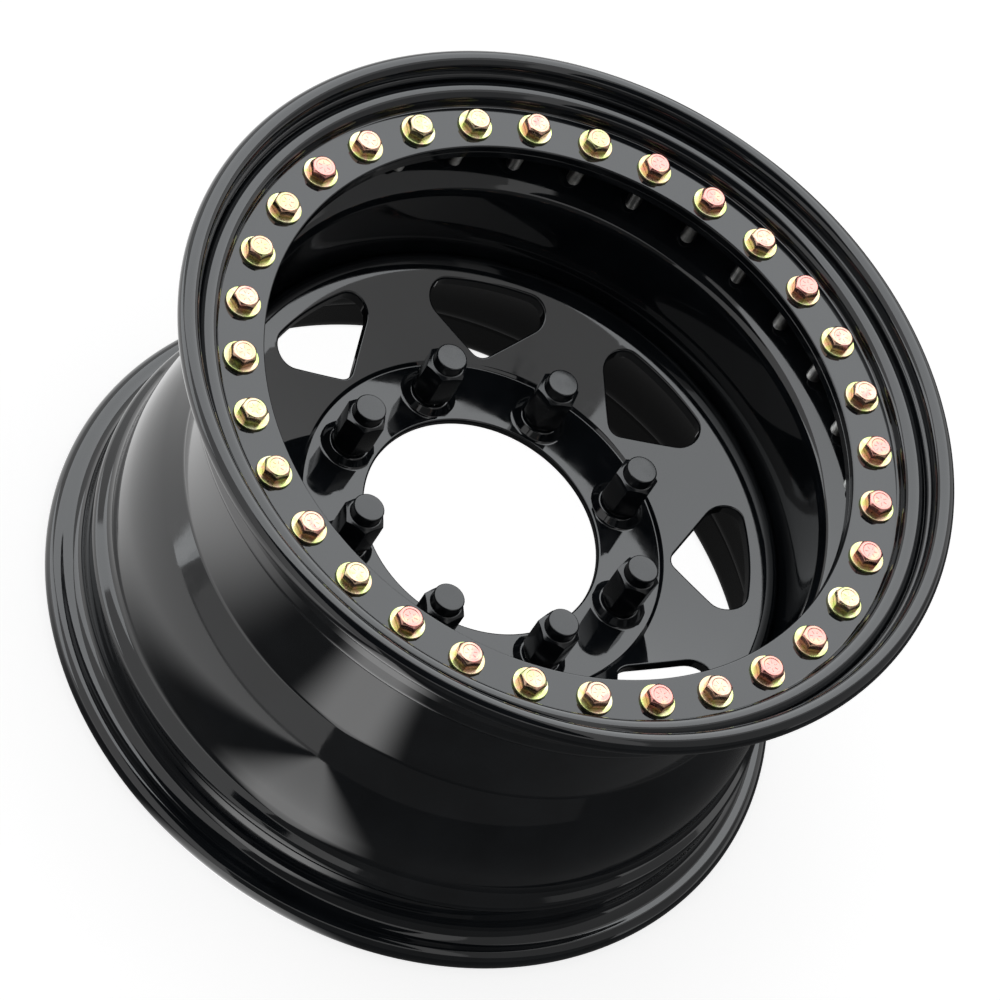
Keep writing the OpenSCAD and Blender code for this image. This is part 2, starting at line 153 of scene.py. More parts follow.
def split_span(points, spans, keep, cuts):
    """Adds points at the places in cuts, shares of the straight span that starts at point keep."""
    a, b = points[keep], points[(keep + 1) % len(points)]
    n = spans[keep][0]
    for k, share in enumerate(cuts):
        points.insert(keep + 1 + k, a + (b - a) * share)
        spans.insert(keep + 1 + k, (n, n))


def join_rings(b, rings, count, capped=False):
    """Faces between rings of count vertices, and over the first and last ring if capped."""
    for one, two in zip(rings, rings[1:]):
        for j in range(count):
            m = (j + 1) % count
            b.f.append((one + j, two + j, two + m, one + m))
    if capped:
        b.f.append(tuple(rings[0] + j for j in range(count)))
        b.f.append(tuple(rings[-1] + j for j in reversed(range(count))))


def new_object(name, data):
    made = bpy.data.objects.new(name, data)
    bpy.context.scene.collection.objects.link(made)
    return made


class Build:
    """Collects vertices and faces with a normal at each face corner."""

    def __init__(self):
        self.v, self.f, self.n = [], [], []

    def add(self, rows):
        first = len(self.v)
        self.v.extend(map(tuple, rows))
        return first

    def face(self, ids, normals):
        self.f.append(tuple(ids))
        self.n.extend(map(tuple, normals))

    def mesh(self, name, material, custom=True):
        mesh = bpy.data.meshes.new(name)
        mesh.from_pydata((np.array(self.v, float) * MM).tolist(), [], self.f)
        mesh.validate()
        if custom:
            mesh.shade_smooth()
            mesh.normals_split_custom_set([tuple(unit(np.array(n))) for n in self.n])
        mesh.materials.append(material)
        return new_object(name, mesh)


def spin(b, points, spans, seg, skip=()):
    """Turns a section round the axis into faces. skip holds (span, step) pairs that stay open."""
    cs = [ray(2 * math.pi * j / seg).tolist() for j in range(seg)]
    first = b.add(turned(p, c, s) for p in points for c, s in cs)
    for i in range(len(points)):
        k = (i + 1) % len(points)
        n0, n1 = spans[i]
        for j in range(seg):
            if (i, j) in skip:
                continue
            m = (j + 1) % seg
            b.face(
                (first + i * seg + j, first + i * seg + m, first + k * seg + m, first + k * seg + j),
                (turned(n0, *cs[j]), turned(n0, *cs[m]), turned(n1, *cs[m]), turned(n1, *cs[j])),
            )
    return first


SHORTEST_DRILLED = 8


def nearest_span(points, spans, at):
    """The straight span that passes nearest to a point of the section, and the share along it."""
    best = None
    for i in range(len(points)):
        a, c = points[i], points[(i + 1) % len(points)]
        length = np.linalg.norm(c - a)
        share = float((at - a) @ (c - a)) / length**2
        if not 0 < share < 1 or length < SHORTEST_DRILLED:
            continue
        off = np.linalg.norm(a + (c - a) * share - at)
        if best is None or off < best[0]:
            best = (off, i, share, length)
    return best[1:]


def block_edge(rows, half_steps):
    """Grid places (row, step) round the block of the grid that a hole takes."""
    top = len(rows) - 1
    cols = range(-half_steps, half_steps + 1)
    edge = [(0, j) for j in cols]
    edge += [(k, half_steps) for k in range(1, top + 1)]
    edge += [(top, j) for j in reversed(cols[:-1])]
    edge += [(k, -half_steps) for k in range(top - 1, 0, -1)]
    return edge


def hole_rim(b, ids, places, centre, n, turn, radius, refine):
    """The rim of a hole in one face of the sheet, and the faces from its block of the grid to it.
    ids are the vertices round the block, places the same in the face, n is the face's normal."""
    along = outward(n) * -1
    c, s = ray(turn)
    rim = []
    for q, place in enumerate(places):
        a0, a1 = heading(place), heading(places[(q + 1) % len(places)])
        gap = (a1 - a0 + math.pi) % (2 * math.pi) - math.pi
        for k in range(refine):
            side, up = radius * ray(a0 + gap * (k / refine))
            r, z = centre + along * up
            rim.append((r * c - side * s, r * s + side * c, z))
    start, total = b.add(rim), len(rim)
    for q in range(len(ids)):
        ring = [start + (q * refine + k) % total for k in range(refine, -1, -1)]
        corners = [ids[q], ids[(q + 1) % len(ids)], *ring]
        b.face(corners, [turned(n, *ray(heading(b.v[v]))) for v in corners])
    return range(start, start + total)


def hole_wall(b, one, two):
    """The wall between the two rims of a hole, whose points need not run the same way round."""
    at_one, at_two = (np.array([b.v[v] for v in rim]) for rim in (one, two))
    middle = at_one.mean(axis=0)
    axis = unit(at_two.mean(axis=0) - middle)

    def inward(v):
        p = np.array(b.v[v]) - middle
        return -unit(p - axis * (p @ axis))

    across = [two[int(np.argmin(np.linalg.norm(np.cross(at_two - p, axis), axis=1)))] for p in at_one]
    for q in range(len(one)):
        w = (q + 1) % len(one)
        ids = (one[w], one[q], across[q], across[w])
        b.face(ids, [inward(v) for v in ids])


def drilled(name, points, spans, seg, holes, radius, material, rows, half_steps, refine=1):
    """A turned piece with holes through two straight spans. holes gives (angle step, first and
    last point of the hole's axis in the section). Each hole takes a block of the grid: rows are
    its places along the span, and it reaches half_steps to each side."""
    b = Build()
    ends = holes[0][1:]
    at_span = [0, 0]
    for e in sorted(range(2), key=lambda e: -nearest_span(points, spans, ends[e])[0]):
        span, share, length = nearest_span(points, spans, ends[e])
        split_span(points, spans, span, [share + r / length for r in rows])
        at_span = [at + len(rows) if at > span else at for at in at_span]
        at_span[e] = span + 1
    skip = {
        (base + k, (h[0] + j) % seg)
        for base in at_span
        for h in holes
        for k in range(len(rows) - 1)
        for j in range(-half_steps, half_steps)
    }
    first = spin(b, points, spans, seg, skip)
    edge = block_edge(rows, half_steps)
    for h in holes:
        turn = 2 * math.pi * h[0] / seg
        c, s = ray(turn)
        rims = []
        for base, centre in zip(at_span, ends):
            ids = [first + (base + k) * seg + (h[0] + j) % seg for k, j in edge]
            places = [(b.v[v][1] * c - b.v[v][0] * s, rows[k]) for (k, _), v in zip(edge, ids)]
            rims.append(hole_rim(b, ids, places, centre, spans[base][0], turn, radius, refine))
        hole_wall(b, *rims)
    return b.mesh(name, material)


# materials
def node(tree, kind, **values):
    made = tree.nodes.new(kind)
    for key, value in values.items():
        setattr(made, key, value)
    return made


def base_material(name):
    material = bpy.data.materials.new(name)
    material.use_nodes = True
    tree = material.node_tree
    return material, tree, tree.nodes["Principled BSDF"]


def feed(tree, made, inputs):
    """Sets the inputs of a node, each to a plain value or from the socket that gives it."""
    for key, value in inputs.items():
        if isinstance(value, bpy.types.NodeSocket):
            tree.links.new(value, made.inputs[key])
        else:
            made.inputs[key].default_value = value


def noise(tree, scale, detail=3.0, rough=0.5):
    coords = node(tree, "ShaderNodeTexCoord").outputs["Object"]
    made = node(tree, "ShaderNodeTexNoise")
    feed(tree, made, {"Scale": scale, "Detail": detail, "Roughness": rough, "Vector": coords})
    return made.outputs["Fac"]


def spread(tree, value, low, high, start=0.3, end=0.7, kind="LINEAR"):
    """Maps a value from start to end onto low to high. Noise keeps mostly between 0.3 and 0.7."""
    made = node(tree, "ShaderNodeMapRange", interpolation_type=kind)
    feed(tree, made, {"Value": value, "From Min": start, "From Max": end, "To Min": low, "To Max": high})
    return made.outputs["Result"]


def ramp(tree, value, stops):
    """A colour that drifts with the value. stops holds (place, colour) pairs."""
    made = node(tree, "ShaderNodeValToRGB")
    band = made.color_ramp
    while len(band.elements) < len(stops):
        band.elements.new(0.5)
    for element, (place, colour) in zip(band.elements, stops):
        element.position = place
        element.color = (*colour, 1)
    feed(tree, made, {"Fac": value})
    return made.outputs["Color"]


def bumps(tree, shader, heights):
    """Chains bump nodes. heights holds (value, distance in metres, strength)."""
    normal = {}
    for value, distance, strength in heights:
        made = node(tree, "ShaderNodeBump")
        feed(tree, made, {"Height": value, "Distance": distance, "Strength": strength, **normal})
        normal = {"Normal": made.outputs["Normal"]}
    feed(tree, shader, normal)


def gloss_paint(name, dark, light, rough_low, rough_high, ior, peel):
    """Gloss black powder coat: deep colour with faint mottling, and a very fine orange peel."""
    material, tree, shader = base_material(name)
    feed(tree, shader, {
        "Base Color": ramp(tree, noise(tree, 38, 4), [(0.35, dark), (0.65, light)]),
        "Roughness": spread(tree, noise(tree, 120, 3), rough_low, rough_high),
        "IOR": ior,
    })
    bumps(tree, shader, [
        (noise(tree, 260, 2), 0.00003, peel),
        (noise(tree, 14, 1), 0.0004, peel * 0.6),
    ])
    return material


def zinc(name, stops, rough_low, rough_high, scale):
    """Yellow passivated zinc: a soft metal whose tint drifts from one face to the next."""
    material, tree, shader = base_material(name)
    feed(tree, shader, {
        "Metallic": 1.0,
        "Base Color": ramp(tree, noise(tree, scale, 2, 0.4), stops),
        "Roughness": spread(tree, noise(tree, 900, 3), rough_low, rough_high),
    })
    bumps(tree, shader, [(noise(tree, 2600, 3), 0.00002, 0.2)])
    return material


DEEP, MOTTLE = (0.0040, 0.0050, 0.0065), (0.0070, 0.0085, 0.0105)
black = gloss_paint("gloss_black_paint", DEEP, MOTTLE, 0.03, 0.08, 1.55, 0.10)
nut_black = gloss_paint("gloss_black_nut", DEEP, MOTTLE, 0.14, 0.24, 1.5, 0.15)
weld_black = gloss_paint("gloss_black_weld", DEEP, MOTTLE, 0.08, 0.2, 1.5, 0.5)
GOLD, YELLOW = (0.56, 0.33, 0.23), (0.60, 0.41, 0.30)
ROSE, GREEN = (0.57, 0.25, 0.22), (0.45, 0.46, 0.22)
LIME, CREAM = (0.47, 0.57, 0.20), (0.60, 0.56, 0.36)
DULL, GREY = (0.16, 0.16, 0.16), (0.24, 0.24, 0.23)


def bolt_zinc(name, *tints):
    return zinc(name, list(zip((0.35, 0.5, 0.65), tints)), 0.2, 0.32, 150)


zinc_gold = bolt_zinc("zinc_gold", GOLD, YELLOW, ROSE)
zinc_yellow = bolt_zinc("zinc_yellow", YELLOW, GOLD, GREEN)
zinc_rose = bolt_zinc("zinc_rose", ROSE, ROSE, GOLD)
zinc_green = bolt_zinc("zinc_green", GREEN, YELLOW, GREEN)
washer_stops = [(0.34, CREAM), (0.46, LIME), (0.56, YELLOW), (0.68, LIME)]
zinc_washer = zinc("zinc_washer", washer_stops, 0.24, 0.38, 90)
bolt_steel = zinc("bolt_steel", [(0.4, DULL), (0.6, GREY)], 0.3, 0.45, 200)


def dress(piece, replaced):
    """Hangs a piece under the root body, and hides the node of the CAD model that it stands for."""
    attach(piece, "root")
    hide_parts(replaced)


def rotate(piece, angle):
    piece.data.transform(Matrix.Rotation(angle, 4, "Z"))


# rim barrel
barrel_path = [
    [FLANGE_R - 2.4, REST_Z, 0],
    [FLANGE_R, REST_Z + 3.4, 7],
    [FLANGE_R, FLANGE_FACE_Z, 6.6],
    [SEAT_BEAD_R - 0.3, FLANGE_FACE_Z, 9],
    [SEAT_BEAD_R, HUMP_Z - 3.2, 0],
    [SEAT_BEAD_R + HUMP_H, HUMP_Z - 0.8, 0],
    [SEAT_BEAD_R + HUMP_H, HUMP_Z + 1.5, 5],
    [DRUM_R, DRUM_REAR_Z, 9],
    [DRUM_R, RAMP_REAR_Z, 85],
    [WELL_R, RAMP_FRONT_Z, 5],
    [WELL_R, SHELF_IN_Z, 5],
    [SEAT_BEAD_R, SHELF_OUT_Z, 8],
    [SEAT_BEAD_R, SHELF_OUT_Z + 10.7, 0],
    [BARREL_EDGE_R, RING_SEAT_Z - 4, 0],
    [BARREL_EDGE_R, RING_SEAT_Z, 0],
]
shelf_slope = (SHELF_OUT_Z - SHELF_IN_Z) / (SEAT_BEAD_R - WELL_R)
valve_z = SHELF_OUT_Z - (SEAT_BEAD_R - VALVE_R) * shelf_slope
valve_dir = unit(np.array([-shelf_slope, 1.0]))
VALVE_ROWS = [-9.0, -4.5, 0.0, 4.5, 9.0]

points, spans = rounded(sheet(barrel_path, BARREL_T))
# the valve hole goes to the grid step nearest to its angle, and the whole barrel is turned to match
valve_step = round(VALVE_TURN * BARREL_SEG / 360)
valve_out = np.array([VALVE_R, valve_z])
barrel = drilled(
    "barrel_skin", points, spans, BARREL_SEG,
    [(valve_step, valve_out, valve_out + valve_dir * BARREL_T)],
    VALVE_HOLE_R, black, VALVE_ROWS, 2, refine=2,
)
rotate(barrel, math.radians(VALVE_TURN - valve_step * 360 / BARREL_SEG))
dress(barrel, "rim_barrel")

# bead clamp rings
BOLT_ROWS = [-6.0, -2.0, 2.0, 6.0]


def bolted_ring(name, replaced, points, spans, z_low, z_high):
    """A ring of the bead lock, with the holes for the clamp bolts from z_low to z_high."""
    high, low = np.array([BOLT_CIRCLE_R, z_high]), np.array([BOLT_CIRCLE_R, z_low])
    holes = [(i * RING_SEG // BOLT_COUNT, high, low) for i in range(BOLT_COUNT)]
    ring = drilled(name, points, spans, RING_SEG, holes, BOLT_HOLE_R, black, BOLT_ROWS, 2)
    rotate(ring, math.radians(BOLT_TURN))
    dress(ring, replaced)


points, spans = rounded([
    [RING_IN_R, RING_SEAT_Z, 0],
    [INNER_RING_R, RING_SEAT_Z, 0],
    [INNER_RING_R, CLAMP_SEAT_Z, 0],
    [RING_IN_R, CLAMP_SEAT_Z, 0],
], soft=0.5)
bolted_ring("inner_ring_skin", "inner_ring", points, spans, RING_SEAT_Z, CLAMP_SEAT_Z)

SHOULDER_R, RAISED_H, CREASE_H, SHOULDER_H = 3.0, 5.9, 5.6, 7.6
raised_r = RIDGE_R + RIDGE_W + 2.65
shoulder_top_z = CLAMP_TOP_Z + SHOULDER_H + SHOULDER_R - 0.4
curl = np.array([CURL_R, CLAMP_TOP_Z + CURL_H])
curl_r = CURL_D / 2


def on_curl(degrees):
    return (curl + ray(math.radians(degrees)) * curl_r).tolist()


def is_on_curl(p):
    return abs(np.linalg.norm(p - curl) - curl_r) < 1e-6


# the curled lip is most of a circle, from the shoulder's side over the top to the web below it
lip = [[*on_curl(a), 0] for a in range(-72, 187, 6)]
clamp_loop = [
    [RING_IN_R, CLAMP_SEAT_Z, 0.8],
    [RIDGE_R + 2.2, CLAMP_SEAT_Z, 2],
    [RIDGE_R + 4.2, CLAMP_SEAT_Z + RAISED_H, 2],
    [raised_r + 1.5, CLAMP_SEAT_Z + RAISED_H + 1, 3],
    [curl[0] + 0.2, curl[1] - curl_r - 0.6, 0.8],
    *lip,
    [curl[0] - curl_r - 0.35, shoulder_top_z, 0.25],
    [raised_r - SHOULDER_R, shoulder_top_z, SHOULDER_R - 0.6],
    [raised_r - SHOULDER_R, CLAMP_TOP_Z + CREASE_H, 0.4],
    [RIDGE_R + RIDGE_W, CLAMP_TOP_Z + CREASE_H, 0.4],
    [RIDGE_R + RIDGE_W, CLAMP_TOP_Z + RIDGE_H, RIDGE_W / 2 - 0.05],
    [RIDGE_R, CLAMP_TOP_Z + RIDGE_H, RIDGE_W / 2 - 0.05],
    [RIDGE_R, CLAMP_TOP_Z, 1.5],
    [RING_IN_R, CLAMP_TOP_Z, 1.2],
]
points, spans = rounded(clamp_loop)
for i, p in enumerate(points):
    q = points[(i + 1) % len(points)]
    if is_on_curl(p) and is_on_curl(q):
        spans[i] = (unit(p - curl), unit(q - curl))
bolted_ring("clamp_ring_skin", "clamp_ring", points, spans, CLAMP_SEAT_Z, CLAMP_TOP_Z)


# weld beads between the barrel and the inner ring
def smooth_piece(b, name, material, angle):
    """A closed piece that is shaded smooth, with sharp edges past the angle."""
    made = b.mesh(name, material, custom=False)
    made.data.shade_smooth()
    made.data.set_sharp_from_angle(angle=math.radians(angle))
    return made


def bead(name, wall_r, side, replaced):
    """The fillet weld between the barrel's wall and the inner ring, on the wall's outside (side 1)
    or inside (side -1). Its face carries the ripples of its run."""
    b = Build()
    corner = (wall_r, RING_SEAT_Z)
    feet = [(wall_r, RING_SEAT_Z - WELD_LEG), (wall_r + side * WELD_LEG, RING_SEAT_Z)]
    a, c = (np.array(foot) for foot in feet[::side])
    out = outward(unit(c - a))
    seg = 2 * round(2 * math.pi * a[0] / RIPPLE_PITCH)
    steps = 7
    for j in range(seg):
        turn = 2 * math.pi * j / seg
        push = WELD_BULGE + WELD_RIPPLE * (1 if j % 2 else -1)
        push = push + 0.12 * math.sin(turn * 37) + 0.1 * math.sin(turn * 83 + 1)
        face = [k / (steps - 1) for k in range(steps)]
        section = [a + (c - a) * t + out * push * math.sin(math.pi * t) for t in face]
        b.add(turned(p, *ray(turn)) for p in (*section, corner))
    size = steps + 1
    join_rings(b, [*range(0, seg * size, size), 0], size)
    dress(smooth_piece(b, name, weld_black, 50), replaced)


bead("outer_ring_bead", BARREL_EDGE_R, 1, "ring_outer_weld")
bead("inner_ring_bead", BARREL_EDGE_R - BARREL_T, -1, "ring_inner_weld")


# centre disc
BEND_R, CROWN_SLOPE, FLANGE_END_Z = 148.5, 0.176, 6.0
disc_outer_r = WELL_R - BARREL_T
disc_rim_z = PAD_H + PAD_RISE + PAD_STEP_H
bend_z = disc_rim_z + (BEND_R - PAD_RIM_R) * DISH_SLOPE
crown_z = bend_z + (disc_outer_r - BEND_R) * CROWN_SLOPE
disc_path = [
    [disc_outer_r, FLANGE_END_Z, 0],
    [disc_outer_r, crown_z, 8],
    [BEND_R, bend_z, 50],
    [PAD_RIM_R, disc_rim_z, 0],
]
pad_back_r = PAD_RIM_R - (disc_rim_z - DISC_T * math.hypot(1, DISH_SLOPE)) / DISH_SLOPE
disc_loop = [
    *disc_path[:3],
    [PAD_RIM_R, disc_rim_z, 1.5],
    [PAD_RIM_R - PAD_STEP_H, PAD_H + PAD_RISE, 1.2],
    [BORE_R + 4, PAD_H, 30],
    [BORE_R, PAD_H - 0.1, 1.5],
    [BORE_R, 2, 0],
    [BORE_R + 2, 0, 0],
    [pad_back_r, 0, 4],
    *[offset_corner(disc_path, DISC_T, i) for i in (2, 1, 0)],
]
# between these radii the disc is no grid, but triangles round the stud seats or the windows
PAD_BAND, DISH_BAND = (68.3, 97.9), (104.6, 147.0)
SEAT_RING_R, SEAT_FOOT_R, SEAT_FLAT_R, SEAT_PLAY = 13.9, 15.9, 9.6, 0.03
seat_slope = (SEAT_TOP_Z - PAD_H + 1) / 4.5


def with_cuts(points, spans, radii, up):
    """Adds points where the front (up 1) or back (up -1) of a section crosses the given radii."""
    for r in radii:
        for i in range(len(points)):
            a, c = points[i], points[(i + 1) % len(points)]
            n = (spans[i][0] + spans[i][1]) / 2
            if n[1] * up > 0.5 and min(a[0], c[0]) + 1e-6 < r < max(a[0], c[0]) - 1e-6:
                share = (r - a[0]) / (c[0] - a[0])
                middle = unit(spans[i][0] * (1 - share) + spans[i][1] * share)
                points.insert(i + 1, a + (c - a) * share)
                spans.insert(i + 1, (middle, spans[i][1]))
                spans[i] = (spans[i][0], middle)
                break


def height_table(points, spans, up):
    """Radius, height and slope along the front or back of a section, by growing radius."""
    rows = sorted(
        (p[0], p[1], -s[0][0] / s[0][1]) for p, s in zip(points, spans) if s[0][1] * up > 0.3
    )
    return np.array(rows).T


points, spans = rounded(disc_loop, step=2.5, soft=0.4)
for up in (1, -1):
    with_cuts(points, spans, [*PAD_BAND, *DISH_BAND], up)
front_rows, back_rows = height_table(points, spans, 1), height_table(points, spans, -1)
seat_foot_z = SEAT_TOP_Z - seat_slope * (SEAT_RING_R - SEAT_R)
pad_mid_z = float(np.interp(STUD_R, *front_rows[:2]))


def stud_angle(i):
    return math.radians(STUD_TURN + 360 / STUD_COUNT * i)


def window_angle(i):
    return math.radians(360 / WINDOW_COUNT * i + WINDOW_TURN)


stud_at = [ray(stud_angle(i)) * STUD_R for i in range(STUD_COUNT)]


def bump_at(xy):
    """Height and slope of the raised stud seats above the pad, and the way that they fall."""
    gaps = [xy - c for c in stud_at]
    near = min(gaps, key=lambda g: g @ g)
    rho = math.hypot(*near)
    if rho >= SEAT_FOOT_R:
        return 0.0, np.zeros(2)
    t = (rho - SEAT_RING_R) / (SEAT_FOOT_R - SEAT_RING_R)
    h0 = seat_foot_z - pad_mid_z
    m0 = -seat_slope * (SEAT_FOOT_R - SEAT_RING_R)
    t = max(t, 0)
    h = h0 * (2 * t**3 - 3 * t**2 + 1) + m0 * (t**3 - 2 * t**2 + t)
    fall = (h0 * (6 * t * t - 6 * t) + m0 * (3 * t * t - 4 * t + 1)) / (SEAT_FOOT_R - SEAT_RING_R)
    return h, near / rho * fall


def surface(xy, up):
    """Height and outward normal of the disc's front or back at a point."""
    r = math.hypot(*xy)
    rows = front_rows if up > 0 else back_rows
    z = float(np.interp(r, rows[0], rows[1]))
    slope = xy / r * float(np.interp(r, rows[0], rows[2]))
    if up > 0 and r < PAD_RIM_R:
        h, fall = bump_at(xy)
        z += h
        slope = slope + fall
    n = unit(np.array([-slope[0], -slope[1], 1.0]))
    return z, n * up


corner_x = WINDOW_W / 2 - WINDOW_CORNER_R
corner_y = math.sqrt((WINDOW_OUT_R - WINDOW_CORNER_R) ** 2 - corner_x**2)
point_y = WINDOW_IN_R + WINDOW_POINT_R
side_run = math.hypot(corner_x, corner_y - point_y)
side_angle = math.atan2(corner_y - point_y, corner_x)
side_angle -= math.asin((WINDOW_CORNER_R - WINDOW_POINT_R) / side_run)
corner_lean = math.atan2(corner_y, corner_x)


def window_outline(grow, turn):
    """Points round a window that is grown by the given width, and the way out at each."""
    def arc(x, y, r, start, by, steps, count):
        angles = [start + by * k / steps for k in range(count)]
        return [(x + (r + grow) * math.cos(a), y + (r + grow) * math.sin(a), a) for a in angles]

    def straight(one, two, steps=9):
        shares = [k / steps for k in range(1, steps)]
        return [(one[0] * (1 - t) + two[0] * t, one[1] * (1 - t) + two[1] * t, one[2]) for t in shares]

    half = math.pi / 2
    bend = corner_lean - side_angle + half
    point = arc(0, point_y, WINDOW_POINT_R, -half - side_angle, 2 * side_angle, 14, 15)
    right = arc(corner_x, corner_y, WINDOW_CORNER_R, side_angle - half, bend, 12, 13)
    outer = arc(0, 0, WINDOW_OUT_R, corner_lean - 1e-9, 2 * (half - corner_lean), 12, 12)
    left = arc(-corner_x, corner_y, WINDOW_CORNER_R, math.pi - corner_lean, bend, 12, 13)
    loop = [*point, *straight(point[-1], right[0]), *right, *outer[1:], *left]
    loop += straight(left[-1], point[0])
    c, s = ray(turn - half)
    xy = np.array([(x * c - y * s, x * s + y * c) for x, y, _ in loop])
    return xy, np.array([ray(a + turn - half) for _, _, a in loop])


def inside(poly, p):
    """Whether a point lies in a polygon: a ray from it crosses the outline an odd number of times."""
    x, y = poly[:, 0], poly[:, 1]
    x2, y2 = np.roll(x, -1), np.roll(y, -1)
    cross = (y > p[1]) != (y2 > p[1])
    with np.errstate(divide="ignore", invalid="ignore"):
        at = (x2 - x) * (p[1] - y) / (y2 - y) + x
    return bool(np.count_nonzero(cross & (p[0] < at)) % 2)


def fill_band(b, loops, loose, keep):
    """Triangles between closed loops of known vertices, through loose points, on front and back.
    A loop is (points, front ids, back ids)."""
    coords, edges, ids = [], [], []
    for xy, front_ids, back_ids in loops:
        first = len(coords)
        coords += [Vector(p) for p in xy]
        ids += list(zip(front_ids, back_ids))
        edges += [(first + k, first + (k + 1) % len(xy)) for k in range(len(xy))]
    for p in loose:
        coords.append(Vector(p))
        p = np.array(p)
        ids.append((b.add([(*p, surface(p, 1)[0])]), b.add([(*p, surface(p, -1)[0])])))
    verts, _, faces, origin, _, _ = delaunay_2d_cdt(coords, edges, [], 0, 1e-6)
    for face in faces:
        flat = np.array([verts[v] for v in face])
        if not keep(flat.mean(axis=0)):
            continue
        if any(not origin[v] for v in face):
            raise ValueError("a loop of the disc crosses another")
        here = [ids[origin[v][0]] for v in face]
        turn = np.cross(flat[1] - flat[0], flat[2] - flat[0])
        if turn < 0:
            here, flat = here[::-1], flat[::-1]
        b.face([h[0] for h in here], [surface(p, 1)[1] for p in flat])
        b.face([h[1] for h in here][::-1], [surface(p, -1)[1] for p in flat[::-1]])


def strips(b, loops):
    """Quads between matching closed loops, each a list of (vertex id, normal)."""
    for one, two in zip(loops, loops[1:]):
        count = len(one)
        for k in range(count):
            m = (k + 1) % count
            four = (one[k], one[m], two[m], two[k])
            b.face([q[0] for q in four], [q[1] for q in four])


disc = Build()
skip, ring_of = set(), {}
for i, p in enumerate(points):
    q = points[(i + 1) % len(points)]
    facing = spans[i][0][1]
    if abs(facing) <= 0.3:
        continue
    for band in (PAD_BAND, DISH_BAND):
        if band[0] - 1e-6 <= min(p[0], q[0]) and max(p[0], q[0]) <= band[1] + 1e-6:
            skip |= {(i, j) for j in range(DISC_SEG)}
        for r in band:
            if abs(p[0] - r) < 1e-6:
                ring_of[(r, 1 if facing > 0 else -1)] = i
first = spin(disc, points, spans, DISC_SEG, skip)
for i in range(len(points)):
    in_grid = (i, 0) not in skip or (i - 1, 0) not in skip
    if in_grid and spans[i][0][1] > 0.1 and points[i][0] < PAD_RIM_R:
        for v in range(first + i * DISC_SEG, first + (i + 1) * DISC_SEG):
            x, y, z = disc.v[v]
            disc.v[v] = (x, y, z + bump_at(np.array([x, y]))[0])


def ring_loop(r):
    ids = [[first + ring_of[(r, up)] * DISC_SEG + j for j in range(DISC_SEG)] for up in (1, -1)]
    xy = np.array([disc.v[v][:2] for v in ids[0]])
    return xy, ids[0], ids[1]


# stud seats: each a small turned shape about its own stud
cone_low = LUG_TIP_Z - (LUG_TIP_R - STUD_HOLE_R) / TAN30
cone_top_r = STUD_HOLE_R + SEAT_PLAY + (SEAT_TOP_Z - cone_low) * TAN30
seat_path = [
    [SEAT_RING_R, 0, 0],
    [STUD_HOLE_R, 0, 0.4],
    [STUD_HOLE_R, cone_low, 0],
    [cone_top_r, SEAT_TOP_Z, 0.35],
    [SEAT_R, SEAT_TOP_Z, 1.3],
    [SEAT_RING_R, seat_foot_z, 0],
]
# the two far points close the loop, and are left out again
seat_points, seat_spans = rounded([*seat_path, [40, 5, 0], [40, 0, 0]], step=10, soft=0)
seat_points, seat_spans = seat_points[:-2], seat_spans[:-3]
seat_ways = [ray(2 * math.pi * j / SEAT_SEG) for j in range(SEAT_SEG)]


def stud_seat(b, stud):
    """Adds the stud seat at a place, and gives its outer loop. Its foot follows the pad's slope."""
    rings = []
    for k, p in enumerate(seat_points):
        row = []
        for way in seat_ways:
            xy = stud + way * p[0]
            z = p[1]
            if k >= len(seat_points) / 2:
                share = min(max((p[0] - SEAT_FLAT_R) / (SEAT_RING_R - SEAT_FLAT_R), 0), 1)
                z += (float(np.interp(math.hypot(*xy), *front_rows[:2])) - pad_mid_z) * share
            row.append((*xy, z))
        rings.append(b.add(row))
    for k, (n0, n1) in enumerate(seat_spans):
        one, two = rings[k], rings[k + 1]
        for j, way in enumerate(seat_ways):
            m = (j + 1) % SEAT_SEG
            ways = ((n0, seat_ways[m]), (n0, way), (n1, way), (n1, seat_ways[m]))
            b.face((one + m, one + j, two + j, two + m), [turned(-n, *d) for n, d in ways])
    front, back = (list(range(start, start + SEAT_SEG)) for start in (rings[-1], rings[0]))
    return np.array([b.v[v][:2] for v in front]), front, back


def near_stud(p):
    return min(math.hypot(*(p - c)) for c in stud_at)


def in_band(p, band, margin=0.0):
    return band[0] + margin < math.hypot(*p) < band[1] - margin


def round_rows(radii, count):
    """Points on circles about the axis."""
    return [ray(2 * math.pi * j / count) * r for r in radii for j in range(count)]


pad_loops = [ring_loop(r) for r in PAD_BAND] + [stud_seat(disc, c) for c in stud_at]
loose = [
    c + ray(2 * math.pi * (j + 0.5) / SEAT_SEG) * rho
    for c in stud_at for rho in (14.3, 14.7, 15.1, 15.5, 15.9) for j in range(SEAT_SEG)
]
loose = [p for p in loose if in_band(p, PAD_BAND, 0.6)]
pad_rows = round_rows(np.arange(PAD_BAND[0] + 3, PAD_BAND[1] - 2, 3.2), 144)
loose += [p for p in pad_rows if near_stud(p) > SEAT_FOOT_R + 1]
seat_edge_r = SEAT_RING_R * math.cos(math.pi / SEAT_SEG) - 1e-3
fill_band(disc, pad_loops, loose, lambda m: in_band(m, PAD_BAND) and near_stud(m) > seat_edge_r)

# windows: the edges are rolled on the front and eased on the back
FRONT_ROLL, BACK_ROLL, BORDER, CLEAR = 1.3, 0.5, 1.7, 3.3


def border_row(b, xy, up):
    first = b.add([(*p, surface(p, up)[0]) for p in xy])
    return [(first + k, surface(p, up)[1]) for k, p in enumerate(xy)]


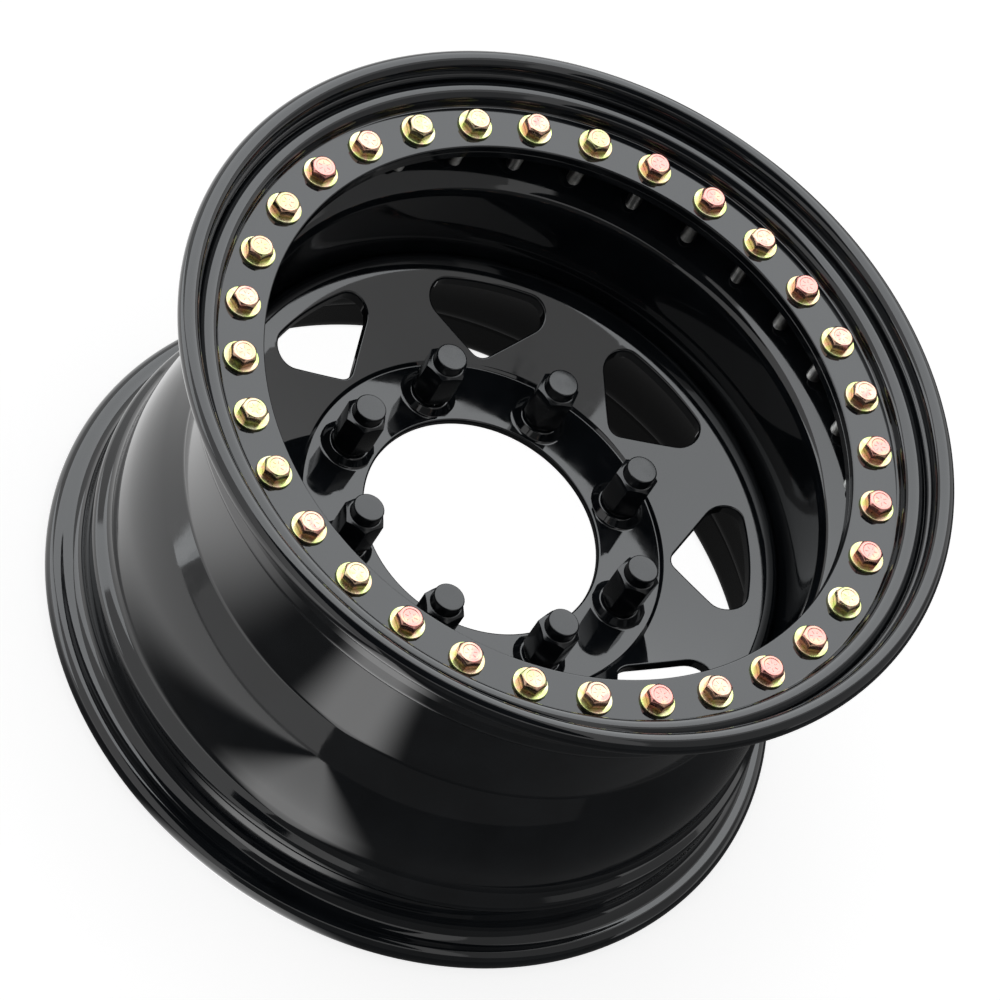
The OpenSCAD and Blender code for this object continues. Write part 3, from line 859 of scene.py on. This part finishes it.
def rolled_edge(b, turn, up, roll, leans):
    """Rows of a window's edge with the radius roll, on the front (up 1) or back (up -1)."""
    rows = []
    for lean in map(math.radians, leans):
        row = []
        for p, way in zip(*window_outline(roll * (1 - math.cos(lean)), turn)):
            z, n = surface(p, up)
            v = b.add([(*p, z - up * roll * (1 - math.sin(lean)))])
            row.append((v, unit(n * math.sin(lean) + np.array([*-way, 0]) * math.cos(lean))))
        rows.append(row)
    return rows


dish_loops = [ring_loop(r) for r in DISH_BAND]
window_polys, clear_polys = [], []
for i in range(WINDOW_COUNT):
    turn = window_angle(i)
    border = window_outline(BORDER, turn)[0]
    front = border_row(disc, border, 1)
    edge = rolled_edge(disc, turn, 1, FRONT_ROLL, range(90, -1, -15))
    edge += rolled_edge(disc, turn, -1, BACK_ROLL, range(0, 91, 30))
    back = border_row(disc, border, -1)
    strips(disc, [front, *edge, back])
    dish_loops.append((border, [v for v, _ in front], [v for v, _ in back]))
    window_polys.append(border)
    clear_polys.append(window_outline(CLEAR, turn)[0])


def in_any(polys, p):
    return any(inside(poly, p) for poly in polys)


dish_rows = round_rows(np.arange(DISH_BAND[0] + 3, DISH_BAND[1] - 1.5, 3.0), 216)
loose = [p for p in dish_rows if not in_any(clear_polys, p)]
fill_band(disc, dish_loops, loose, lambda m: in_band(m, DISH_BAND) and not in_any(window_polys, m))
dress(disc.mesh("disc_skin", black), "centre_disc")


# stitch welds behind the disc
def stitch(b, middle):
    """A round weld bead along a stretch of the disc's flange, with ripples and round ends."""
    steps, sides = 90, 14
    for k in range(steps + 1):
        t = k / steps
        a = middle + (t - 0.5) * math.radians(STITCH_ARC)
        end = max(1 - abs(2 * t - 1) ** 9, 0.02) ** 0.5
        wave = 1 + 0.045 * math.cos(k * 2 * math.pi / 3.0) + 0.03 * math.sin(k * 0.9)
        for q in range(sides):
            d = ray(2 * math.pi * q / sides) * STITCH_R * end * wave
            b.v.append(turned((disc_outer_r - STITCH_SUNK + d[0], STITCH_Z + d[1]), *ray(a)))
    first = len(b.v) - (steps + 1) * sides
    rings = [first + k * sides for k in reversed(range(steps + 1))]
    join_rings(b, rings, sides, capped=True)


beads = Build()
for i in range(WINDOW_COUNT):
    stitch(beads, window_angle(i))
dress(smooth_piece(beads, "disc_stitch_beads", weld_black, 40), "disc_welds")


# hexagon pieces
def hex_columns(width, corner=0.35, flat_steps=4, corner_steps=3):
    """Points round a hexagon with eased corners."""
    made = []
    half = width / 2
    reach = (half - corner) * TAN30
    for side in range(6):
        a = math.radians(60 * side)
        n, t = ray(a), ray(a + math.pi / 2)
        for k in range(flat_steps + 1):
            made.append(n * half + t * reach * (2 * k / flat_steps - 1))
        c = n * (half - corner) + t * reach
        for k in range(1, corner_steps):
            made.append(c + ray(a + math.radians(60) * k / corner_steps) * corner)
    return made


def column_rings(b, columns, rows, origin, turn):
    """Rings of vertices: each row gives radius and height for a column of a given reach."""
    c, s = ray(turn)
    rings = []
    for row in rows:
        ring = []
        for p in columns:
            reach = math.hypot(*p)
            r, z = row(reach)
            x, y = p[0] / reach * r, p[1] / reach * r
            ring.append((origin[0] + x * c - y * s, origin[1] + x * s + y * c, origin[2] + z))
        rings.append(b.add(ring))
    return rings


def flat(r, z):
    """A round row: the same radius and height for every column."""
    return lambda reach: (r, z)


# clamp bolts
HEAD_TOP_R, HEAD_CHAMFER = BOLT_HEX_W / 2 - 0.65, 1.3
BOLT_CORNER_R = BOLT_HEX_W / 2 / COS30
THREAD_TOP = -(HEAD_SEAT_Z - RING_SEAT_Z + WELD_NUT_H) + 1.0
bolt_columns = hex_columns(BOLT_HEX_W)


def bolt_angle(i):
    return math.radians(BOLT_TURN + BOLT_STEP * i)


def chamfer(reach):
    """Height of the cone that cuts the head's corners."""
    fall = HEAD_CHAMFER * (BOLT_CORNER_R - reach) / (BOLT_CORNER_R - HEAD_TOP_R)
    return BOLT_HEAD_H - HEAD_CHAMFER + fall


# the head's shallow dish and its rim, the chamfer, the flats, the seat and the plain shank
HEAD_ROWS = [
    flat(1.0, BOLT_HEAD_H - 0.28),
    flat(3.9, BOLT_HEAD_H - 0.28),
    flat(4.35, BOLT_HEAD_H - 0.22),
    flat(4.55, BOLT_HEAD_H - 0.04),
    flat(4.75, BOLT_HEAD_H),
    flat(HEAD_TOP_R - 0.12, BOLT_HEAD_H),
    flat(HEAD_TOP_R + 0.1, BOLT_HEAD_H - 0.09),
    lambda reach: (reach - 0.14, chamfer(reach - 0.14)),
    lambda reach: (reach, chamfer(reach) - 0.16),
    lambda reach: (reach, 0.25),
    lambda reach: (reach - 0.2, 0.02),
    flat(BOLT_R + 0.5, 0.02),
    flat(BOLT_R, -0.4),
    flat(BOLT_R, THREAD_TOP),
]


def thread_rings(b, at, turn):
    """The thread as rings whose radius follows the helix, with a pointed end."""
    low = -BOLT_LEN
    steps = math.ceil((THREAD_TOP - low) / THREAD_PITCH * THREAD_STEPS)
    rings = []
    for k in range(steps + 1):
        z = THREAD_TOP + (low - THREAD_TOP) * k / steps
        ring = []
        for a in map(heading, bolt_columns):
            phase = (z / THREAD_PITCH - a / (2 * math.pi)) % 1
            tooth = min(max(abs(phase - 0.5) * 2 * 1.25 - 0.1, 0), 1)
            fade = min(1, (THREAD_TOP - z) / 0.6)
            r = BOLT_R - THREAD_DEPTH * tooth * fade
            r = min(r, BOLT_R - 1.0 + max(z - low, 0) * 1.2)
            x, y = r * ray(a + turn)
            ring.append((at[0] + x, at[1] + y, at[2] + z))
        rings.append(b.add(ring))
    return rings + column_rings(b, bolt_columns, [flat(BOLT_R - 1.3, low)], at, turn)


def head_bars(b, at, turn):
    """Six short raised bars on the head, as on any high grade bolt."""
    for k in range(6):
        a = turn + math.radians(60 * k + 30)
        n, t = ray(a), ray(a + math.pi / 2)
        foot, head = [], []
        for along, across in ((1.5, -0.3), (3.3, -0.3), (3.3, 0.3), (1.5, 0.3)):
            q = n * along + t * across
            foot.append((at[0] + q[0], at[1] + q[1], at[2] + BOLT_HEAD_H - 0.34))
            q = n * (along + (0.12 if along < 2 else -0.12)) + t * across * 0.6
            head.append((at[0] + q[0], at[1] + q[1], at[2] + BOLT_HEAD_H - 0.1))
        low, high = b.add(foot), b.add(head)
        join_rings(b, [high, low], 4, capped=True)


def bolt_mesh(name, i, material):
    b = Build()
    at = turned((BOLT_CIRCLE_R, HEAD_SEAT_Z), *ray(bolt_angle(i)))
    turn = bolt_angle(i) + math.radians(17 * i)
    rings = column_rings(b, bolt_columns, HEAD_ROWS, at, turn) + thread_rings(b, at, turn)
    join_rings(b, rings, len(bolt_columns), capped=True)
    head_bars(b, at, turn)
    made = smooth_piece(b, name, material, 32)
    made.data.materials.append(bolt_steel)
    for face in made.data.polygons:
        if face.center.z < (HEAD_SEAT_Z - 0.3) * MM:
            face.material_index = 1
    return made


# the zinc coat of each bolt leans its own way: gold, yellow, rose or green
BOLT_TINTS = "nrgygrgrrnrrrggrgrrygnngryygynyg"
TINT = {"g": zinc_gold, "y": zinc_yellow, "r": zinc_rose, "n": zinc_green}
for i in range(BOLT_COUNT):
    bolt = bolt_mesh(f"bolt_{i + 1}", i, TINT[BOLT_TINTS[i]])
    dress(bolt, f"clamp_bolt_{i + 1}")

# washers and welded nuts
points, spans = rounded([
    [BOLT_HOLE_R, 0, 0],
    [WASHER_R, 0, 0],
    [WASHER_R, WASHER_T, 0.45],
    [BOLT_HOLE_R, WASHER_T, 0],
], step=15, soft=0.15)
NUT_FOOT_R, NUT_CHAMFER, NUT_HOLE_R = 5.7, 1.2, BOLT_R + 0.05


def nut_chamfer(reach):
    return NUT_CHAMFER * (reach - NUT_FOOT_R) / (BOLT_CORNER_R - NUT_FOOT_R)


NUT_ROWS = [
    flat(NUT_HOLE_R, WELD_NUT_H),
    lambda reach: (reach - 0.1, WELD_NUT_H),
    lambda reach: (reach, WELD_NUT_H - 0.1),
    lambda reach: (reach, nut_chamfer(reach) + 0.14),
    lambda reach: (reach - 0.14, nut_chamfer(reach - 0.14)),
    flat(NUT_FOOT_R, 0),
    flat(NUT_HOLE_R + 0.5, 0),
    flat(NUT_HOLE_R, 0.4),
    flat(NUT_HOLE_R, WELD_NUT_H),
]
washers, nuts = Build(), Build()
for i in range(BOLT_COUNT):
    place = bolt_angle(i)
    x0, y0, z0 = turned((BOLT_CIRCLE_R, CLAMP_TOP_Z), *ray(place))
    start = spin(washers, points, spans, WASHER_SEG)
    washers.v[start:] = [(x + x0, y + y0, z + z0) for x, y, z in washers.v[start:]]
    foot = (x0, y0, RING_SEAT_Z - WELD_NUT_H)
    join_rings(nuts, column_rings(nuts, bolt_columns, NUT_ROWS, foot, place), len(bolt_columns))
dress(washers.mesh("washers_skin", zinc_washer), "clamp_washers")
dress(smooth_piece(nuts, "weld_nuts_skin", weld_black, 32), "weld_nuts")


# lug nuts
LUG_CORNER_R = LUG_HEX_W / 2 / COS30
LUG_TOP_Z = LUG_TIP_Z + LUG_H
LUG_HEX_TOP_Z = LUG_TOP_Z - LUG_CAP_H


LUG_EDGE_R, LUG_LAND_R = 1.0, LUG_CAP_R + 0.6
LUG_BORE_TOP_Z = LUG_TOP_Z - 5
LUG_FALL = 1.4 / (LUG_CORNER_R - LUG_LAND_R)
lug_columns = hex_columns(LUG_HEX_W, corner=0.5, flat_steps=8, corner_steps=4)


def lug_shoulder(reach):
    """Height of the hexagon's top, which falls from the cap to the corners."""
    return LUG_HEX_TOP_Z - (reach - LUG_LAND_R) * LUG_FALL


def lug_cone(reach):
    """Height of the conical seat."""
    return LUG_TIP_Z + (reach - LUG_TIP_R) / TAN30


cap_edge = np.array([LUG_CAP_R - LUG_EDGE_R, LUG_TOP_Z - LUG_EDGE_R])
LUG_ROWS = [
    flat(0.8, LUG_TOP_Z + 0.02),
    flat(4.5, LUG_TOP_Z + 0.01),
    *[flat(*(cap_edge + LUG_EDGE_R * ray(math.radians(d))[::-1])) for d in range(0, 91, 10)],
    flat(LUG_CAP_R, LUG_HEX_TOP_Z + 0.35),
    flat(LUG_CAP_R + 0.12, LUG_HEX_TOP_Z + 0.08),
    flat(LUG_LAND_R, LUG_HEX_TOP_Z),
    flat(LUG_LAND_R + 0.3, LUG_HEX_TOP_Z - 0.3 * LUG_FALL),
    lambda reach: (reach - 0.2, lug_shoulder(reach - 0.2)),
    lambda reach: (reach, lug_shoulder(reach) - 0.25),
    lambda reach: (reach, lug_cone(reach) + 0.35),
    lambda reach: (reach - 0.15, lug_cone(reach - 0.15)),
    flat(LUG_TIP_R + 0.1, LUG_TIP_Z + 0.2),
    flat(LUG_TIP_R - 0.1, LUG_TIP_Z),
    flat(LUG_THREAD_R + 0.6, LUG_TIP_Z),
    flat(LUG_THREAD_R, LUG_TIP_Z + 0.6),
    flat(LUG_THREAD_R, LUG_BORE_TOP_Z),
    flat(0.5, LUG_BORE_TOP_Z),
]
for i in range(STUD_COUNT):
    b = Build()
    at = turned((STUD_R, 0.0), *ray(stud_angle(i)))
    rings = column_rings(b, lug_columns, LUG_ROWS, at, stud_angle(i) + math.radians(23 * i))
    join_rings(b, rings, len(lug_columns), capped=True)
    dress(smooth_piece(b, f"lug_{i + 1}", nut_black, 30), f"lug_nut_{i + 1}")

# camera, as fitted to the photograph
FOCAL_PX, IMAGE_PX, SENSOR_MM = 6294.70, 1000, 36.0
# in the camera's axes: the middle of the lug nuts' tops, and the way of the wheel's axis
EYE = np.array([4.04313408, -6.28679380, 3282.42487])
AXIS = np.array([*np.sin([0.371152694, -0.559227832]), 0.0])
AXIS[2] = -math.sqrt(1 - AXIS @ AXIS)
ACROSS = unit(np.cross([0, 1, 0], AXIS))
ALONG = np.cross(AXIS, ACROSS)
PHASE = math.radians(30.642)
NUT_TOP_Z = 43.0
basis = np.array([ACROSS, ALONG, AXIS])
turn_back = np.array(Matrix.Rotation(-PHASE, 3, "Z"))
place = turn_back @ (-basis @ EYE) + np.array([0, 0, NUT_TOP_Z])
right = turn_back @ (basis @ np.array([1.0, 0, 0]))
up = turn_back @ (basis @ np.array([0, -1.0, 0]))
behind = turn_back @ (basis @ np.array([0, 0, -1.0]))
camera_data = bpy.data.cameras.new("camera")
camera_data.sensor_width = SENSOR_MM
camera_data.lens = SENSOR_MM * FOCAL_PX / IMAGE_PX
camera_data.clip_start, camera_data.clip_end = 0.1, 50
camera = new_object("camera", camera_data)
pose = Matrix((right, up, behind)).transposed().to_4x4()
pose.translation = Vector(place * MM)
camera.matrix_world = pose
bpy.context.scene.camera = camera


# floor, world, lamps and the boards of painted reflections
def maths(tree, operation, *values):
    """A math node. Each value is a number, or the socket that gives it."""
    made = node(tree, "ShaderNodeMath", operation=operation)
    feed(tree, made, dict(enumerate(values)))
    return made.outputs[0]


def from_middle(tree):
    """Coordinates in the object's frame, and the distance from its middle."""
    coords = node(tree, "ShaderNodeTexCoord").outputs["Object"]
    length = node(tree, "ShaderNodeVectorMath", operation="LENGTH")
    feed(tree, length, {0: coords})
    return coords, length.outputs["Value"]


def seen_share(tree):
    """1 for the rays that show the background: those of the camera, of gloss and of glass."""
    rays = node(tree, "ShaderNodeLightPath")
    seen = maths(tree, "MAXIMUM", rays.outputs["Is Camera Ray"], rays.outputs["Is Glossy Ray"])
    return maths(tree, "MAXIMUM", seen, rays.outputs["Is Transmission Ray"])


def plate(name, corners):
    """A flat stage piece. Gives the piece and its material's nodes."""
    mesh = bpy.data.meshes.new(name)
    mesh.from_pydata(corners, [], [(0, 1, 2, 3)])
    material, tree, _ = base_material(name)
    mesh.materials.append(material)
    made = new_object(name, mesh)
    return made, tree


def glowing(tree, colour, rough, level):
    """Sets the shader to a plain colour with no gloss, and a white glow of the given level."""
    feed(tree, tree.nodes["Principled BSDF"], {
        "Base Color": (*colour, 1),
        "Roughness": rough,
        "Specular IOR Level": 0.0,
        "Emission Color": (1, 1, 1, 1),
        "Emission Strength": level,
    })


# the floor looks white, and still takes the wheel's shadow through its plain share
FLOOR_REACH, FLOOR_GAP, FLOOR_GLOW, BORE_GLOW, GLOSS_GLOW = 40, 0.2, 0.70, 0.97, 0.3
BORE_EDGE = (0.222, 0.232)
SQUARE = ((-1, -1), (1, -1), (1, 1), (-1, 1))
floor_z = (REST_Z - FLOOR_GAP) * MM
tree = plate("floor_white", [(x * FLOOR_REACH, y * FLOOR_REACH, floor_z) for x, y in SQUARE])[1]
# inside the barrel, where lamps hardly reach, the floor glows more, so the bore shows white too
reach = from_middle(tree)[1]
shown = spread(tree, reach, BORE_GLOW - GLOSS_GLOW, FLOOR_GLOW - GLOSS_GLOW, *BORE_EDGE)
in_gloss = spread(tree, seen_share(tree), 0, GLOSS_GLOW, 0, 1)
rays = node(tree, "ShaderNodeLightPath")
glow = maths(tree, "MULTIPLY_ADD", rays.outputs["Is Camera Ray"], shown, in_gloss)
glowing(tree, (0.85, 0.85, 0.85), 0.95, glow)

WORLD_LIGHT = 0.4
world = bpy.data.worlds.new("studio")
bpy.context.scene.world = world
world.use_nodes = True
tree = world.node_tree
strength = spread(tree, seen_share(tree), WORLD_LIGHT, 1, 0, 1)
feed(tree, tree.nodes["Background"], {"Color": (1, 1, 1, 1), "Strength": strength})

view_right, view_up, view_back = (Vector(v) for v in (right, up, behind))
middle = Vector((0, 0, 0.02))


def studio_axes(way):
    """Across and up for a board that faces the wheel from the given way, in the camera's axes."""
    out = (view_right * way[0] + view_up * way[1] + view_back * way[2]).normalized()
    across = view_up.cross(out)
    if across.length < 0.2:
        across = view_right.copy()
    across.normalize()
    return out, across, out.cross(across)


COOL = (0.93, 0.97, 1.0)


def softbox(name, way, distance, width, height, glossy, plain):
    """A soft lamp. glossy is the brightness that gloss shows of it, and plain the one that lights."""
    out, across, along = studio_axes(way)
    for part, level in (("gloss", glossy), ("light", plain)):
        data = bpy.data.lights.new(f"{name}_{part}", "AREA")
        data.shape = "RECTANGLE"
        data.size, data.size_y = width, height
        data.energy = level * math.pi * width * height
        data.color = COOL if part == "gloss" else (1, 1, 1)
        made = new_object(f"{name}_{part}", data)
        made.matrix_world = Matrix((across, along, out)).transposed().to_4x4()
        made.location = middle + out * distance
        made.visible_camera = False
        made.visible_glossy = part == "gloss"
        made.visible_diffuse = part == "light"


def painted_reflection_board(name, corners):
    """A board that only gloss shows, as a studio puts up to keep black paint black: a painted
    reflection, which neither lights the wheel nor casts a shadow.
    """
    made, tree = plate(name, corners)
    made.visible_camera = made.visible_diffuse = False
    made.visible_transmission = made.visible_shadow = False
    return tree


def reflection_flag(name, way, distance, width, height, level):
    """A board that faces the wheel from the given way, of one level of brightness, and that only gloss
    shows: a painted reflection.
    """
    out, across, along = studio_axes(way)
    centre = middle + out * distance
    corners = [centre + across * (width / 2 * x) + along * (height / 2 * y) for x, y in SQUARE]
    glowing(painted_reflection_board(name, corners), (0, 0, 0), 0.5, level)


# in metres: where the card's painted reflection starts round the wheel, and the edges of its painted
# highlights, the strip and the side
CARD_EDGE, HIGHLIGHT_STRIP_EDGE, SIDE_HIGHLIGHT_EDGE, CARD_LIFT = (0.214, 0.228), (0.075, 0.02), (-0.12, -0.24), 0.0001


def painted_reflection_card(name, half_size, dark, highlight_strip, side):
    """A board on the floor round the wheel that only gloss shows, a painted reflection: dark, with a
    soft painted highlight strip that points to the camera and a painted highlight to its left. It is all
    dark under the wheel."""
    upright = Vector((0, 0, 1))
    ahead = (view_back - upright * view_back.z).normalized()
    across = upright.cross(ahead)
    height = upright * (floor_z + CARD_LIFT)
    corners = [(ahead * x + across * y) * half_size + height for x, y in SQUARE]
    tree = painted_reflection_board(name, corners)
    coords, reach = from_middle(tree)
    along = node(tree, "ShaderNodeVectorMath", operation="DOT_PRODUCT")
    feed(tree, along, {0: coords, 1: across})
    offset = along.outputs["Value"]
    outside = spread(tree, reach, 0, 1, *CARD_EDGE, "SMOOTHSTEP")
    parts = []
    for value, edge, level in (
        (maths(tree, "ABSOLUTE", offset), HIGHLIGHT_STRIP_EDGE, highlight_strip),
        (offset, SIDE_HIGHLIGHT_EDGE, side),
    ):
        kept = maths(tree, "MULTIPLY", spread(tree, value, 0, 1, *edge, "SMOOTHSTEP"), outside)
        parts.append(maths(tree, "MULTIPLY_ADD", kept, level - dark, dark))
    glowing(tree, (0, 0, 0), 0.5, maths(tree, "MAXIMUM", *parts))


softbox("key", (0.22, 0.93, 0.28), 1.6, 2.9, 1.9, 2.3, 1.0)
softbox("side", (-0.86, 0.50, 0.12), 1.6, 1.1, 1.0, 2.3, 0.6)
# the flags below are seen only in gloss: painted reflections of dark and grey boards
reflection_flag("reflection_flag_camera", (0.16, 0.16, 0.97), 1.5, 1.5, 1.2, 0.02)
reflection_flag("reflection_flag_right", (0.93, -0.05, 0.30), 1.2, 1.3, 1.1, 0.45)
reflection_flag("reflection_flag_low", (0.35, -0.73, 0.60), 1.4, 3.0, 1.3, 0.15)
# the card on the floor is seen only in gloss: a painted reflection, dark, with painted highlights
painted_reflection_card("painted_reflection_card", 2.5, 0.08, 2.2, 1.5)
